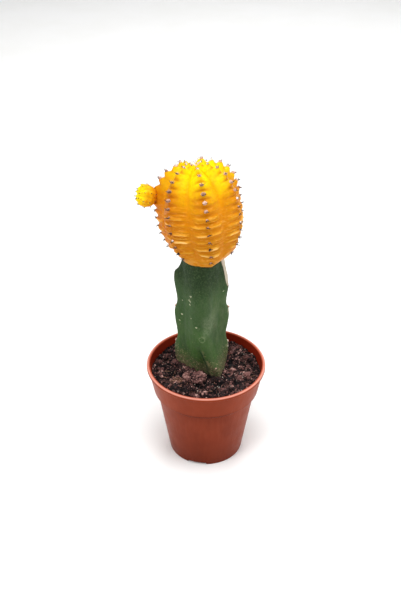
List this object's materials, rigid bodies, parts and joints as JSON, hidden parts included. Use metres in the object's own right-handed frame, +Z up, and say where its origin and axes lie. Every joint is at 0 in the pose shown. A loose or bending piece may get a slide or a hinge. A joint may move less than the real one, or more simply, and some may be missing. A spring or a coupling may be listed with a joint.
{
  "type": "potted cactus",
  "caption": "Small nursery pot of peat with a grafted moon cactus: a winged green stem under a ribbed yellow head with a round offset on its flank.",
  "frame": {"origin": "on the pot's axis, on the surface the pot stands on", "axes": "+Z up along the pot's axis, -Y towards the viewer of the front, +X to the viewer's right"},
  "size_m": [0.0586, 0.055, 0.1461],
  "materials": {
    "pot_plastic": "satin terracotta-coloured plastic",
    "peat": "matt, crumbly",
    "stem_skin": "satin dark green skin with pale corky scars",
    "head_skin": "satin skin, lemon yellow at the crown to orange at the foot",
    "pup_skin": "satin bright yellow skin"
  },
  "bodies": {
    "root": {"pot": "pot_plastic", "soil": "peat", "rootstock": "stem_skin", "scion": "head_skin", "pup": "pup_skin"}
  },
  "joints": []
}
